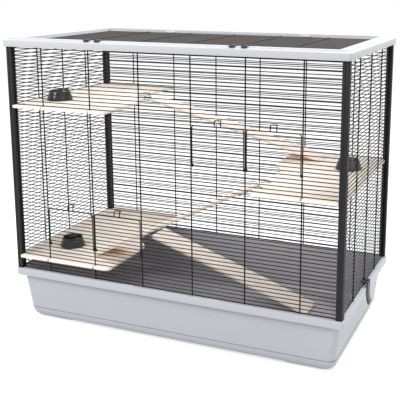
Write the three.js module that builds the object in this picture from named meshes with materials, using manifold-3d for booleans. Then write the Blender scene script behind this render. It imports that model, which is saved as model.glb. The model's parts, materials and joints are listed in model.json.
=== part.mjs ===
// A large wire cage for ferrets and other small pets: a deep plastic tray, four corner posts,
// four welded wire panels with four drop-down doors, a plastic top frame with a hinged wire
// roof, and three wooden shelves joined by three wooden ramps, with a feeding bowl on each shelf.
// Millimetres, +Z up, the doors face -Y. The origin is on the floor, under the middle of the tray.
import * as THREE from 'three';
import { mergeVertices } from 'three/addons/utils/BufferGeometryUtils.js';
import Module from 'manifold-3d';

const wasm = await Module();
wasm.setup();

// ---------------------------------------------------------------- driving dimensions

// Gap left between pieces that rest on, or slide past, each other.
const clearance = 0.3;

// Tray: outside of the rim, the rolled rim itself, the tapered wall and the stepped floor.
const trayLength = 1000;
const trayDepth = 528;
const trayHeight = 158;
const trayWall = 3;
const rimHeight = 21;
const rimOverhang = 13;
const rimCornerRadius = 12;
const rimEdgeChamfer = 1.5;
const wallCornerRadius = 18;
const wallTaper = 13;
const creaseHeight = 33;
const baseCornerRadius = 26;
const baseEdgeRound = 25;
const footHeight = 9;
const footLength = 128;
const footSlope = 17;

// Corner posts: square extrusions with a slot on each inner face for the panel edges.
const postSize = 18;
const postSetback = 4;
const postCornerRadius = 4;
const postSlotClearance = 0.4;
const postEdgeWireOffset = 6.5;
const postGrooveWidth = 3;
const postGrooveDepth = 1;

// Welded wire: thin bars, thicker uprights in front of them, and the wire round each panel.
const barDiameter = 2;
const barPitch = 10.65;
const barRows = 61;
const barSides = 4;
const uprightDiameter = 3;
const uprightSides = 6;
const edgeWireDiameter = 3;
const longUprights = 6;
const longUprightPitch = 152.8;
const shortUprights = 3;
const shortUprightPitch = 127;

// Doors: two low on the left and two in the middle, one bay wide, hung on a bar at the foot.
const doorRows = 10;
const lowDoorRow = 8;
const highDoorRow = 34;
const doorWireDiameter = 3;
const doorSideGap = 3.7;
const doorOffset = 3.3;
const doorCornerRadius = 5;
const eyeTurn = 260;
const catchWidth = 17;
const catchReach = 9;
const catchBend = 3;

// Top frame: a hollow rail all round, with a ledge inside for the wire roof.
const frameOverhangX = 1;
const frameOverhangY = 4;
const frameBand = 19;
const frameWall = 3;
const frameWireCover = 4.6;
const frameCornerRadius = 10;
const frameRailX = 38;
const frameRailY = 30;
const frameLipRise = 5;
const frameFlangeDepth = 15;
const ledgeWidth = 10;
const ledgeThickness = 3;

// Wire roof, its hinge lugs on the back rail and its two clips on the front rail.
const roofWireDiameter = 4;
const roofGap = 6.5;
const roofBars = 43;
const roofCrossWires = 5;
const roofCrossPitch = 153;
const lugSpacing = 460;
const lugWidth = 30;
const lugThickness = 3;
const roofClipSpacing = 424;
const roofClipWidth = 48;
const roofClipProng = 15;
const roofClipThickness = 2.4;
const roofClipReach = 25;
const roofClipNose = 3.2;

// Side clips that hold the cage down on the tray rim.
const trayClipWidth = 32;
const trayClipThickness = 3.2;
const trayClipLever = 64;
const trayClipFlare = 6;
const clipWireGap = 0.35;
const clipRingWall = 2;
const clipNotchClearance = 1.2;
const clipNotchDepth = 9;

// Wooden shelves: boards pushed between two bars, slotted round the uprights.
const shelfThickness = 8;
const shelfLip = 16;
const shelfStepStart = -55;
const shelfStepEnd = 5;
const shelfCornerRadius = 20;
const slotClearance = 0.8;
const upperShelfRow = 45;
const middleShelfRow = 28;
const lowerShelfRow = 3;
const upperShelfWidth = 310;
const middleShelfWidth = 286;
const lowerShelfWidth = 308;
const upperShelfNeck = 253;
const middleShelfNeck = 243;
const lowerShelfNeck = 253;

// Wooden ramps, all alike, each hung on a bent wire hook.
const rampLength = 550;
const rampWidth = 90;
const rampThickness = 8;
const rampCornerRadius = 6;
const rampEndGap = 22;
const rampEndDrop = 4;
const hookWireDiameter = 2.6;
const hookSpacing = 56;
const hookTip = 20;
const hookGrip = 34;
const hookBend = 3;
const hookRunIn = 5;
const hookLegGap = 1.2;
const upperRampStart = 60;
const upperRampEnd = 165;
const middleRampStart = -175;
const middleRampEnd = -150;
const lowerRampStart = 89;

// Bowls: low truncated cones with a cup in the top.
const bowlBaseDiameter = 76;
const bowlRimDiameter = 59;
const bowlHeight = 29;
const bowlCupDiameter = 53;
const bowlCupDepth = 21;
const bowlFootWidth = 4;
const bowlFootHeight = 2;

// ---------------------------------------------------------------- sizes worked out from them

const barRadius = barDiameter / 2;
const uprightOffset = barRadius + clearance + uprightDiameter / 2;
// A wire's corners lie further from its axis than its flats.
const cornerRadius = (diameter, sides) => diameter / 2 / Math.cos(Math.PI / sides);

const postX = trayLength / 2 - postSetback - postSize / 2;
const postY = trayDepth / 2 - postSetback - postSize / 2;
const firstRowZ = trayHeight + clearance + edgeWireDiameter / 2;
const topWireZ = firstRowZ + (barRows + 1) * barPitch;
const frameBottomZ = topWireZ - edgeWireDiameter / 2 - frameWireCover;
const frameEdgeZ = frameBottomZ + frameBand;
const frameTopZ = frameEdgeZ + frameLipRise;
const frameX = trayLength / 2 + frameOverhangX;
const frameY = trayDepth / 2 + frameOverhangY;
const openingX = frameX - frameRailX;
const openingY = frameY - frameRailY;
const ledgeTopZ = frameTopZ - frameFlangeDepth;
const roofZ = ledgeTopZ + clearance * 2 + roofWireDiameter / 2;
const roofX = openingX - roofGap;
const roofY = openingY - roofGap;
const roofBarPitch = (2 * roofY) / (roofBars + 1);

// Height of bar number `row`, counted from the bottom wire of a panel.
const rowZ = (row) => firstRowZ + row * barPitch;
const shelfBottomZ = (row) => rowZ(row) + barRadius + clearance;
const shelfTopZ = (row) => shelfBottomZ(row) + shelfThickness;
const trayFloorZ = footHeight + trayWall;

// Positions spread evenly about zero.
const spread = (count, pitch) => Array.from({ length: count }, (_, i) => (i - (count - 1) / 2) * pitch);
const longUprightX = spread(longUprights, longUprightPitch);
const shortUprightX = spread(shortUprights, shortUprightPitch);

// ---------------------------------------------------------------- solids

function toSolid(geometry) {
  const bare = geometry.clone();
  bare.deleteAttribute('normal');
  bare.deleteAttribute('uv');
  const merged = mergeVertices(bare, 1e-4);
  return new wasm.Manifold(new wasm.Mesh({
    numProp: 3,
    vertProperties: new Float32Array(merged.attributes.position.array),
    triVerts: new Uint32Array(merged.index.array),
  }));
}

function toGeometry(solid) {
  const mesh = solid.getMesh();
  const geometry = new THREE.BufferGeometry();
  geometry.setAttribute('position', new THREE.BufferAttribute(mesh.vertProperties, 3));
  geometry.setIndex(new THREE.BufferAttribute(mesh.triVerts, 1));
  return geometry;
}

const join = (geometries) => wasm.Manifold.union(geometries.map(toSolid));

// A regular polygon whose flats lie `diameter` apart, with a flat facing each way along x.
function wireSection(diameter, sides) {
  const radius = cornerRadius(diameter, sides);
  const corners = Array.from({ length: sides }, (_, i) => {
    const angle = ((i + 0.5) * 2 * Math.PI) / sides;
    return new THREE.Vector2(radius * Math.cos(angle), radius * Math.sin(angle));
  });
  return new THREE.Shape(corners);
}

// Straight wires. Each runs between two values on its own axis, centred on the other two.
function wireAlongX(x0, x1, y, z, diameter, sides = uprightSides) {
  const depth = x1 - x0;
  const geometry = new THREE.ExtrudeGeometry(wireSection(diameter, sides), { depth, bevelEnabled: false });
  return geometry.rotateY(Math.PI / 2).translate(x0, y, z);
}

function wireAlongY(y0, y1, x, z, diameter, sides = uprightSides) {
  const depth = y1 - y0;
  const geometry = new THREE.ExtrudeGeometry(wireSection(diameter, sides), { depth, bevelEnabled: false });
  return geometry.rotateZ(Math.PI / 2).rotateX(-Math.PI / 2).translate(x, y0, z);
}

function wireAlongZ(z0, z1, x, y, diameter, sides = uprightSides) {
  const depth = z1 - z0;
  const geometry = new THREE.ExtrudeGeometry(wireSection(diameter, sides), { depth, bevelEnabled: false });
  return geometry.rotateZ(Math.PI / 2).translate(x, y, z0);
}

// A path whose stations are the points given, so that a bent wire has rings only where it bends.
class BentPath extends THREE.Curve {
  constructor(points) {
    super();
    this.points = points;
  }

  getPointAt(u, target = new THREE.Vector3()) {
    return target.copy(this.points[Math.round(u * (this.points.length - 1))]);
  }

  getTangentAt(u, target = new THREE.Vector3()) {
    const i = Math.round(u * (this.points.length - 1));
    const before = this.points[Math.max(i - 1, 0)];
    const here = this.points[i];
    const after = this.points[Math.min(i + 1, this.points.length - 1)];
    const arriving = here.clone().sub(before).normalize();
    const leaving = after.clone().sub(here).normalize();
    return target.copy(arriving).add(leaving).normalize();
  }
}

function bentWire(points, diameter, sides = uprightSides) {
  const extrudePath = new BentPath(points);
  const settings = { steps: points.length - 1, bevelEnabled: false, extrudePath };
  return new THREE.ExtrudeGeometry(wireSection(diameter, sides), settings);
}

// Replaces each inner corner of a polyline by an arc of the given radius, in `steps` pieces.
function roundCorners(corners, radius, steps = 2) {
  const points = [corners[0]];
  for (let i = 1; i < corners.length - 1; i += 1) {
    const corner = corners[i];
    const back = corners[i - 1].clone().sub(corner).normalize();
    const ahead = corners[i + 1].clone().sub(corner).normalize();
    const halfAngle = back.angleTo(ahead) / 2;
    const reach = radius / Math.tan(halfAngle);
    const start = corner.clone().addScaledVector(back, reach);
    const middle = back.clone().add(ahead).normalize();
    const centre = corner.clone().addScaledVector(middle, radius / Math.sin(halfAngle));
    const axis = back.clone().cross(ahead).normalize();
    const sweep = Math.PI - 2 * halfAngle;
    for (let step = 0; step <= steps; step += 1) {
      const spoke = start.clone().sub(centre).applyAxisAngle(axis, -(sweep * step) / steps);
      points.push(centre.clone().add(spoke));
    }
  }
  points.push(corners[corners.length - 1]);
  return points;
}

// A flat outline from [x, y, radius] corners. A corner with a radius is rounded.
function roundedOutline(corners) {
  const shape = new THREE.Shape();
  corners.forEach(([x, y, radius = 0], i) => {
    const corner = new THREE.Vector2(x, y);
    const [px, py] = corners[(i + corners.length - 1) % corners.length];
    const [nx, ny] = corners[(i + 1) % corners.length];
    const from = new THREE.Vector2(px, py).sub(corner).setLength(radius).add(corner);
    const to = new THREE.Vector2(nx, ny).sub(corner).setLength(radius).add(corner);
    if (i === 0) {
      shape.moveTo(from.x, from.y);
    } else {
      shape.lineTo(from.x, from.y);
    }
    if (radius > 0) {
      shape.quadraticCurveTo(x, y, to.x, to.y);
    }
  });
  shape.closePath();
  return shape;
}

function plate(shape, depth, curveSegments = 4) {
  return new THREE.ExtrudeGeometry(shape, { depth, bevelEnabled: false, curveSegments });
}

// One horizontal rounded rectangle of a lofted shell, as [x, y, z] points.
function ring({ x, y, z, radius }, cornerSteps) {
  const points = [];
  for (let corner = 0; corner < 4; corner += 1) {
    const sideX = corner === 0 || corner === 3 ? 1 : -1;
    const sideY = corner < 2 ? 1 : -1;
    for (let step = 0; step <= cornerSteps; step += 1) {
      const angle = ((corner + step / cornerSteps) * Math.PI) / 2;
      const px = sideX * (x - radius) + radius * Math.cos(angle);
      const py = sideY * (y - radius) + radius * Math.sin(angle);
      points.push([px, py, z]);
    }
  }
  return points;
}

// Skins a list of such rings. An open list gets a flat floor on its first and last ring, and a
// closed one joins its last ring to its first.
function loft(sections, { cornerSteps = 4, closed = false } = {}) {
  const rings = sections.map((section) => ring(section, cornerSteps));
  const count = rings[0].length;
  const index = [];
  const joints = closed ? rings.length : rings.length - 1;
  for (let r = 0; r < joints; r += 1) {
    const low = r * count;
    const high = ((r + 1) % rings.length) * count;
    for (let i = 0; i < count; i += 1) {
      const next = (i + 1) % count;
      index.push(low + i, low + next, high + next, low + i, high + next, high + i);
    }
  }
  if (!closed) {
    const last = (rings.length - 1) * count;
    for (let i = 1; i < count - 1; i += 1) {
      index.push(0, i + 1, i, last, last + i, last + i + 1);
    }
  }
  const geometry = new THREE.BufferGeometry();
  geometry.setAttribute('position', new THREE.Float32BufferAttribute(rings.flat(2), 3));
  geometry.setIndex(index);
  return geometry;
}

// ---------------------------------------------------------------- materials

const finish = (color, roughness, metalness = 0) => ({ color, roughness, metalness });
const greyPlastic = finish(0xc6c9d2, 0.45);
const palePlastic = finish(0xe3e7ec, 0.45);
const darkPlastic = finish(0x35333a, 0.5);
const blackWire = finish(0x242326, 0.45, 0.2);
const paleWood = finish(0xeedfc8, 0.7);
const blackPlastic = finish(0x232022, 0.3);
const steelWire = finish(0x8d8f93, 0.35, 0.8);

const cage = new THREE.Group();

function piece(name, geometry, look) {
  const mesh = new THREE.Mesh(geometry, new THREE.MeshStandardMaterial(look));
  mesh.name = name;
  return mesh;
}

// ---------------------------------------------------------------- tray

// Outer or inner skin of the tray below the rim, from the floor up. `inset` is the wall taken off.
function trayWallSections(inset) {
  const topX = trayLength / 2 - rimOverhang - inset;
  const topY = trayDepth / 2 - rimOverhang - inset;
  const creaseX = topX - wallTaper;
  const creaseY = topY - wallTaper * 0.6;
  const sections = [];
  const roundSteps = 4;
  for (let step = 0; step <= roundSteps; step += 1) {
    const angle = (step / roundSteps) * (Math.PI / 2);
    const inward = baseEdgeRound * (1 - Math.sin(angle));
    sections.push({
      x: creaseX - inward,
      y: creaseY - inward,
      z: inset + (creaseHeight - inset) * (1 - Math.cos(angle)),
      radius: baseCornerRadius - inset,
    });
  }
  sections.push({
    x: topX,
    y: topY,
    z: trayHeight - trayWall,
    radius: wallCornerRadius - inset,
  });
  return sections;
}

// The raised middle of the floor, seen from the front, reaching `extra` above its underside.
function plateau(extra, outset) {
  const half = trayLength / 2 - rimOverhang - wallTaper - baseEdgeRound - footLength;
  const outline = new THREE.Shape();
  outline.moveTo(-half - footSlope - outset, -extra);
  outline.lineTo(half + footSlope + outset, -extra);
  outline.lineTo(half + footSlope + outset, 0);
  outline.lineTo(half + outset, footHeight);
  outline.lineTo(-half - outset, footHeight);
  outline.lineTo(-half - footSlope - outset, 0);
  outline.closePath();
  return plate(outline, trayDepth).rotateX(Math.PI / 2).translate(0, trayDepth / 2, 0);
}

function baseTray() {
  const rimX = trayLength / 2;
  const rimY = trayDepth / 2;
  const outer = trayWallSections(0);
  const inner = trayWallSections(trayWall);
  const rim = [
    { x: rimX - trayWall, y: rimY - trayWall, z: trayHeight - trayWall },
    { x: rimX - trayWall, y: rimY - trayWall, z: trayHeight - rimHeight },
    { x: rimX, y: rimY, z: trayHeight - rimHeight },
    { x: rimX, y: rimY, z: trayHeight - rimEdgeChamfer },
    { x: rimX - rimEdgeChamfer, y: rimY - rimEdgeChamfer, z: trayHeight },
  ].map((section) => ({ ...section, radius: rimCornerRadius }));
  const innerTop = { ...inner[inner.length - 1], z: trayHeight };
  const shell = toSolid(loft([...outer, ...rim, innerTop, ...inner.slice(0, -1).reverse()]));
  const outside = toSolid(loft(outer));
  const under = toSolid(plateau(footHeight, 0));
  const above = toSolid(plateau(0, trayWall / 2).translate(0, 0, trayWall));
  const floor = above.subtract(under).intersect(outside);
  const cut = shell.subtract(under).add(floor);
  return toGeometry(cut);
}

cage.add(piece('base_tray', baseTray(), greyPlastic));

// ---------------------------------------------------------------- corner posts

function postOutline() {
  const half = postSize / 2;
  const slot = edgeWireDiameter / 2 + postSlotClearance;
  const slotEnd = postEdgeWireOffset - slot;
  const groove = postGrooveWidth / 2;
  const bed = half - postGrooveDepth;
  return roundedOutline([
    [-half, -half, postCornerRadius],
    [-groove, -half],
    [-groove, -bed],
    [groove, -bed],
    [groove, -half],
    [half, -half],
    [half, -slot],
    [slotEnd, -slot],
    [slotEnd, slot],
    [half, slot],
    [half, half],
    [slot, half],
    [slot, slotEnd],
    [-slot, slotEnd],
    [-slot, half],
    [-half, half],
    [-half, groove],
    [-bed, groove],
    [-bed, -groove],
    [-half, -groove],
  ]);
}

const postBottomZ = trayHeight + clearance;
const postTopZ = frameEdgeZ - frameWall - clearance;
[
  ['corner_post_front_left', -postX, -postY, 0],
  ['corner_post_front_right', postX, -postY, 90],
  ['corner_post_back_right', postX, postY, 180],
  ['corner_post_back_left', -postX, postY, 270],
].forEach(([name, x, y, turn]) => {
  const post = piece(name, plate(postOutline(), postTopZ - postBottomZ, 3), darkPlastic);
  post.position.set(x, y, postBottomZ);
  post.rotation.z = THREE.MathUtils.degToRad(turn);
  cage.add(post);
});

// ---------------------------------------------------------------- wire panels

// The bays that hold a door, as [bay number from the left, row of the hinge bar].
const doorBays = [
  ['door_lower_left', 0, lowDoorRow],
  ['door_lower_right', 1, lowDoorRow],
  ['door_upper_left', 3, highDoorRow],
  ['door_upper_right', 4, highDoorRow],
];

// The stretches of bar `row` that run beside the doors, from edge wire to edge wire.
function barStretches(row, halfWidth, uprights, bays) {
  const gaps = bays.filter(([, , hinge]) => row > hinge && row < hinge + doorRows);
  if (gaps.length === 0) {
    return [[-halfWidth, halfWidth]];
  }
  const left = Math.min(...gaps.map(([, bay]) => bay));
  const right = Math.max(...gaps.map(([, bay]) => bay)) + 1;
  return [[-halfWidth, uprights[left]], [uprights[right], halfWidth]];
}

// A panel seen from outside: x to the right, the bars at y = 0 and the uprights on the -y side.
function wirePanel(halfWidth, uprights, bays = []) {
  const wires = [
    wireAlongZ(firstRowZ, topWireZ, -halfWidth, 0, edgeWireDiameter, barSides),
    wireAlongZ(firstRowZ, topWireZ, halfWidth, 0, edgeWireDiameter, barSides),
  ];
  const reach = halfWidth + edgeWireDiameter / 2;
  wires.push(wireAlongX(-reach, reach, 0, firstRowZ, edgeWireDiameter, barSides));
  wires.push(wireAlongX(-reach, reach, 0, topWireZ, edgeWireDiameter, barSides));
  for (let row = 1; row <= barRows; row += 1) {
    barStretches(row, halfWidth, uprights, bays).forEach(([x0, x1]) => {
      wires.push(wireAlongX(x0, x1, 0, rowZ(row), barDiameter, barSides));
    });
  }
  uprights.forEach((x) => {
    wires.push(wireAlongZ(firstRowZ, topWireZ, x, -uprightOffset, uprightDiameter));
  });
  return toGeometry(join(wires));
}

const longHalfWidth = postX - postEdgeWireOffset;
const shortHalfWidth = postY - postEdgeWireOffset;
[
  ['wire_panel_front', longHalfWidth, longUprightX, doorBays, 0, -postY, 0],
  ['wire_panel_back', longHalfWidth, longUprightX, [], 0, postY, 180],
  ['wire_panel_left', shortHalfWidth, shortUprightX, [], -postX, 0, 270],
  ['wire_panel_right', shortHalfWidth, shortUprightX, [], postX, 0, 90],
].forEach(([name, halfWidth, uprights, bays, x, y, turn]) => {
  const panel = piece(name, wirePanel(halfWidth, uprights, bays), blackWire);
  panel.position.set(x, y, 0);
  panel.rotation.z = THREE.MathUtils.degToRad(turn);
  cage.add(panel);
});

// ---------------------------------------------------------------- doors

// A door with its hinge bar on the x axis. The side wires stand in front of the bars and curl
// round the hinge bar, and the catch loop reaches back between two bars above the door.
function door() {
  const side = longUprightPitch / 2 - doorSideGap;
  const front = -doorOffset;
  const height = doorRows * barPitch;
  const eye = (x) => Array.from({ length: 8 }, (_, i) => {
    const angle = THREE.MathUtils.degToRad(180 + (eyeTurn * (8 - i)) / 8);
    return new THREE.Vector3(x, -front * Math.cos(angle), -front * Math.sin(angle));
  });
  const frame = [
    new THREE.Vector3(-side, front, 0),
    new THREE.Vector3(-side, front, height),
    new THREE.Vector3(side, front, height),
    new THREE.Vector3(side, front, 0),
  ];
  const path = [
    ...eye(-side),
    ...roundCorners(frame, doorCornerRadius, 3),
    ...eye(side).reverse(),
  ];
  const wires = [bentWire(path, doorWireDiameter, barSides)];
  for (let row = 1; row < doorRows; row += 1) {
    wires.push(wireAlongX(-side, side, front, row * barPitch, barDiameter, barSides));
  }
  const catchTop = height + barPitch * 1.5;
  const catchBack = front + catchReach;
  const loop = [
    new THREE.Vector3(-catchWidth / 2, front, height),
    new THREE.Vector3(-catchWidth / 2, front, catchTop),
    new THREE.Vector3(-catchWidth / 2, catchBack, catchTop),
    new THREE.Vector3(catchWidth / 2, catchBack, catchTop),
    new THREE.Vector3(catchWidth / 2, front, catchTop),
    new THREE.Vector3(catchWidth / 2, front, height),
  ];
  wires.push(bentWire(roundCorners(loop, catchBend), doorWireDiameter, barSides));
  return toGeometry(join(wires));
}

doorBays.forEach(([name, bay, row]) => {
  const leaf = piece(name, door(), blackWire);
  leaf.position.set(longUprightX[bay] + longUprightPitch / 2, -postY, rowZ(row));
  cage.add(leaf);
});

// ---------------------------------------------------------------- top frame

// The rail's section: `inward` from the outer face, and height. The rails are narrower in Y.
function frameSections() {
  const lipStart = 14;
  const grooveStart = 10;
  const chamfer = 2;
  const rail = frameRailX;
  const flangeBottomZ = ledgeTopZ - ledgeThickness;
  const skinZ = frameEdgeZ - frameWall;
  const profile = [
    [0, frameBottomZ],
    [0, frameEdgeZ - chamfer],
    [chamfer, frameEdgeZ],
    [grooveStart, frameEdgeZ + 1],
    [lipStart - 2, frameEdgeZ + 1],
    [lipStart, frameTopZ],
    [rail - 2, frameTopZ],
    [rail, frameTopZ - 2],
    [rail, ledgeTopZ],
    [rail + ledgeWidth, ledgeTopZ],
    [rail + ledgeWidth, flangeBottomZ],
    [rail - frameWall, flangeBottomZ],
    [rail - frameWall, skinZ],
    [frameWall, skinZ],
    [frameWall, frameBottomZ],
  ];
  return profile.map(([inward, z]) => ({
    x: frameX - inward,
    y: frameY - Math.min(inward, rail) * (frameRailY / frameRailX) - Math.max(inward - rail, 0),
    z,
    radius: Math.max(frameCornerRadius - inward, 1),
  }));
}

function topFrame() {
  const ring = toSolid(loft(frameSections(), { cornerSteps: 3, closed: true }));
  const roofTop = roofZ + cornerRadius(roofWireDiameter, uprightSides);
  const lugs = spread(2, lugSpacing).map((x) => {
    const reach = roofGap + roofWireDiameter / 2;
    const lug = new THREE.BoxGeometry(lugWidth, reach + frameWall / 2, lugThickness);
    lug.translate(x, openingY - (reach - frameWall / 2) / 2, roofTop + clearance + lugThickness / 2);
    return lug;
  });
  const clipSlots = spread(2, roofClipSpacing).map((x) => {
    const slot = new THREE.BoxGeometry(roofClipWidth + 4, ledgeWidth + 2, ledgeThickness * 3);
    slot.translate(x, -openingY + ledgeWidth / 2 + 1 + clearance, ledgeTopZ - ledgeThickness / 2);
    return slot;
  });
  const cut = ring.subtract(join(clipSlots)).add(join(lugs));
  return toGeometry(cut);
}

cage.add(piece('top_frame', topFrame(), palePlastic));

// ---------------------------------------------------------------- roof

function roofGrille() {
  const reachX = roofX + roofWireDiameter / 2;
  const wires = [
    wireAlongY(-roofY, roofY, -roofX, 0, roofWireDiameter, barSides),
    wireAlongY(-roofY, roofY, roofX, 0, roofWireDiameter, barSides),
    wireAlongX(-reachX, reachX, -roofY, 0, roofWireDiameter),
    wireAlongX(-reachX, reachX, roofY, 0, roofWireDiameter),
  ];
  spread(roofBars, roofBarPitch).forEach((y) => {
    wires.push(wireAlongX(-roofX, roofX, y, 0, barDiameter, barSides));
  });
  const crossZ = barRadius + clearance + uprightDiameter / 2;
  spread(roofCrossWires, roofCrossPitch).forEach((x) => {
    wires.push(wireAlongY(-roofY, roofY, x, crossZ, uprightDiameter));
  });
  return toGeometry(join(wires));
}

const roof = piece('roof_grille', roofGrille(), blackWire);
roof.position.z = roofZ;
cage.add(roof);

// A ring round a wire at the origin, open at the bottom so that it can snap on.
function wireGrip(wireDiameter, sides) {
  const inner = cornerRadius(wireDiameter, sides) + clipWireGap;
  const outer = inner + clipRingWall;
  const mouth = THREE.MathUtils.degToRad(35);
  const shape = new THREE.Shape();
  shape.absarc(0, 0, outer, -Math.PI / 2 + mouth, Math.PI * 1.5 - mouth, false);
  shape.absarc(0, 0, inner, Math.PI * 1.5 - mouth, -Math.PI / 2 + mouth, true);
  shape.closePath();
  return shape;
}

// A clip gripping the front wire of the roof: two prongs reach over the front rail.
function roofClip() {
  const grip = plate(wireGrip(roofWireDiameter, uprightSides), roofClipWidth, 7);
  const wallY = roofY - openingY;
  const railZ = frameTopZ - roofZ + clearance;
  const near = wallY + clearance;
  const arm = new THREE.Shape();
  arm.moveTo(near, 0);
  arm.lineTo(near + roofClipThickness, 0);
  arm.lineTo(near + roofClipThickness, railZ + roofClipThickness);
  arm.lineTo(near - roofClipReach, railZ + roofClipThickness);
  arm.lineTo(near - roofClipReach, railZ - roofClipNose);
  arm.lineTo(near - roofClipReach + roofClipThickness, railZ - roofClipNose);
  arm.lineTo(near - roofClipReach + roofClipThickness, railZ);
  arm.lineTo(near, railZ);
  arm.closePath();
  const stand = (geometry) => geometry.applyMatrix4(
    new THREE.Matrix4().set(0, 0, 1, -roofClipWidth / 2, 1, 0, 0, 0, 0, 1, 0, 0, 0, 0, 0, 1),
  );
  const body = join([stand(grip), stand(plate(arm, roofClipWidth))]);
  const middle = roofClipWidth - 2 * roofClipProng;
  const gap = new THREE.BoxGeometry(middle, roofClipReach * 2, railZ * 4);
  gap.translate(0, near - roofClipReach - roofClipThickness / 2, railZ);
  return toGeometry(body.subtract(toSolid(gap)));
}

spread(2, roofClipSpacing).forEach((x, i) => {
  const clip = piece(['roof_clip_left', 'roof_clip_right'][i], roofClip(), blackPlastic);
  clip.position.set(x, -roofY, roofZ);
  cage.add(clip);
});

// ---------------------------------------------------------------- tray clips

// A clip hung on the lowest bar of a side panel, with a lever lying over the tray rim. Drawn for
// the right side, with the bar at the origin, and notched to straddle the middle upright.
function trayClip() {
  const rimFace = trayLength / 2 - postX + clearance;
  const t = trayClipThickness;
  const lever = new THREE.Shape();
  lever.moveTo(barRadius + clipWireGap * 2, -t / 2);
  lever.lineTo(rimFace, -t / 2);
  lever.lineTo(rimFace, -trayClipLever * 0.6);
  lever.quadraticCurveTo(rimFace, -trayClipLever * 0.85, rimFace + trayClipFlare, -trayClipLever);
  lever.lineTo(rimFace + trayClipFlare + t * 0.8, -trayClipLever + t * 0.5);
  lever.quadraticCurveTo(rimFace + t, -trayClipLever * 0.8, rimFace + t, -trayClipLever * 0.55);
  lever.lineTo(rimFace + t, -t / 2);
  lever.quadraticCurveTo(rimFace + t, t / 2, rimFace, t / 2);
  lever.lineTo(barRadius + clipWireGap * 2, t / 2);
  lever.closePath();
  const stand = (geometry) => geometry.rotateX(Math.PI / 2).translate(0, trayClipWidth / 2, 0);
  const grip = plate(wireGrip(barDiameter, barSides), trayClipWidth, 6);
  const body = join([stand(grip), stand(plate(lever, trayClipWidth))]);
  const notchWidth = uprightDiameter + 2 * clipNotchClearance;
  const notch = new THREE.BoxGeometry((rimFace + t) * 3, notchWidth, clipNotchDepth * 2);
  return toGeometry(body.subtract(toSolid(notch)));
}

const clipBarZ = rowZ(1);
[['tray_clip_left', -1], ['tray_clip_right', 1]].forEach(([name, side]) => {
  const clip = piece(name, trayClip(), blackPlastic);
  clip.position.set(side * postX, 0, clipBarZ);
  clip.rotation.z = side > 0 ? 0 : Math.PI;
  cage.add(clip);
});

// ---------------------------------------------------------------- shelves

// A shelf for the left wall, seen from above with y towards the back. Its lips pass between two
// bars of the front and back panels. It is `width` deep in front, and steps back to its narrower
// `neck`, which leaves room for a ramp and clears the next upright.
function shelfOutline(width, neck) {
  const wall = -postX + barRadius + clearance;
  const lipStart = -postX + postSize / 2 + clearance * 2;
  const lipY = postY + shelfLip;
  const shoulderY = postY - postSize / 2 - clearance * 2;
  const tongue = wall + width;
  const notch = wall + neck;
  const radius = shelfCornerRadius;
  return roundedOutline([
    [lipStart, -lipY],
    [tongue, -lipY, radius],
    [tongue, shelfStepStart, radius],
    [notch, shelfStepEnd, radius],
    [notch, lipY, radius],
    [lipStart, lipY],
    [lipStart, shoulderY],
    [wall, shoulderY],
    [wall, -shoulderY],
    [lipStart, -shoulderY],
  ]);
}

// The board, with a slot in both lips round each upright that it meets.
function shelf(width, neck) {
  const slotWidth = 2 * cornerRadius(uprightDiameter, uprightSides) + 2 * slotClearance;
  const slotEnd = postY + uprightOffset - uprightDiameter / 2 - slotClearance;
  const slots = longUprightX.flatMap((x) => [-1, 1].map((side) => {
    const slot = new THREE.BoxGeometry(slotWidth, shelfLip * 2, shelfThickness * 3);
    return slot.translate(x, side * (slotEnd + shelfLip), 0);
  }));
  return toGeometry(toSolid(plate(shelfOutline(width, neck), shelfThickness, 3)).subtract(join(slots)));
}

[
  ['shelf_upper', upperShelfWidth, upperShelfNeck, upperShelfRow, 0],
  ['shelf_middle', middleShelfWidth, middleShelfNeck, middleShelfRow, 180],
  ['shelf_lower', lowerShelfWidth, lowerShelfNeck, lowerShelfRow, 0],
].forEach(([name, width, neck, row, turn]) => {
  const board = piece(name, shelf(width, neck), paleWood);
  board.position.z = shelfBottomZ(row);
  board.rotation.z = THREE.MathUtils.degToRad(turn);
  cage.add(board);
});

// ---------------------------------------------------------------- ramps and their hooks

// Where a ramp hangs and lands. It leaves the neck of its shelf at `startY` and its far end
// comes down at `endY`, both measured on the ramp's centre line, on the surface at `landingZ`.
function rampLayout(shelfNeck, shelfRow, side, startY, endY, landingZ) {
  const edgeX = side * (postX - barRadius - clearance - shelfNeck);
  const topZ = shelfTopZ(shelfRow);
  const fall = topZ - rampEndDrop - clearance - landingZ;
  const tilt = Math.asin(fall / Math.hypot(rampLength, rampThickness)) - Math.atan2(rampThickness, rampLength);
  const skew = Math.asin((endY - startY) / (rampLength * Math.cos(tilt)));
  return { side, edgeX, topZ, startY, tilt, skew };
}

// The plan distance from the shelf edge to the hook's legs and to the board, on the centre line.
const legReach = (skew) => hookWireDiameter / 2 + hookLegGap + (hookSpacing / 2) * Math.abs(Math.sin(skew));
const boardReach = (skew) => rampEndGap + (rampWidth / 2) * Math.abs(Math.sin(skew));

// A board along +x that starts at x = 0, with its top face at z = 0.
function rampBoard() {
  const half = rampWidth / 2;
  const outline = roundedOutline([
    [0, -half, rampCornerRadius],
    [rampLength, -half, rampCornerRadius],
    [rampLength, half, rampCornerRadius],
    [0, half, rampCornerRadius],
  ]);
  return plate(outline, rampThickness, 3).translate(0, 0, -rampThickness);
}

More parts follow.
